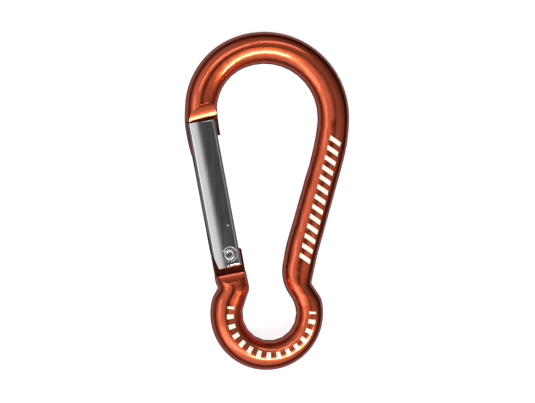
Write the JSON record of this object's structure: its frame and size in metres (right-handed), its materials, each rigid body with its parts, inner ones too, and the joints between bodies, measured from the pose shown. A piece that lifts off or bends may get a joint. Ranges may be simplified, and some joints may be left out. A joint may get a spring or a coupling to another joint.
{
  "type": "carabiner",
  "caption": "Small snap carabiner: a bent round bar with a wide bend at one end and an eye at the other, closed by a sprung straight gate.",
  "frame": {"origin": "centre of the eye, in the middle of the bar's thickness", "axes": "+Y from the eye to the large bend, along the carabiner's length; +X from the gate to the spine; +Z through the thickness, along the hinge rivet, with the carabiner lying flat on its side"},
  "size_m": [0.0392, 0.08, 0.0076],
  "materials": {
    "anodised_frame": "orange-red anodised, satin gloss",
    "polished_gate": "polished bare metal",
    "rivet_steel": "satin, set flush",
    "plunger_steel": "ground",
    "spring_steel": "drawn wire"
  },
  "bodies": {
    "frame": {"frame": "anodised_frame"},
    "gate": {"gate": "polished_gate", "hinge_rivet": "rivet_steel", "gate_spring": "spring_steel"},
    "plunger": {"plunger": "plunger_steel"}
  },
  "joints": [
    {"name": "gate_hinge", "type": "hinge", "parent": "frame", "child": "gate", "pos_m": [-0.00982, 0.01403, 0], "axis": [0, 0, -1], "range_deg": [0, 44], "stiffness_Nm_per_rad": 0.08, "springref_deg": -57.3},
    {"name": "plunger_slide", "type": "slide", "parent": "gate", "child": "plunger", "axis": [-0.1857, 0.9826, 0], "range_m": [0, 0.0008], "deforming": ["gate_spring"]}
  ],
  "couplings": [
    {"joint": "plunger_slide", "follows": "gate_hinge", "m_per_rad": 0.001}
  ]
}
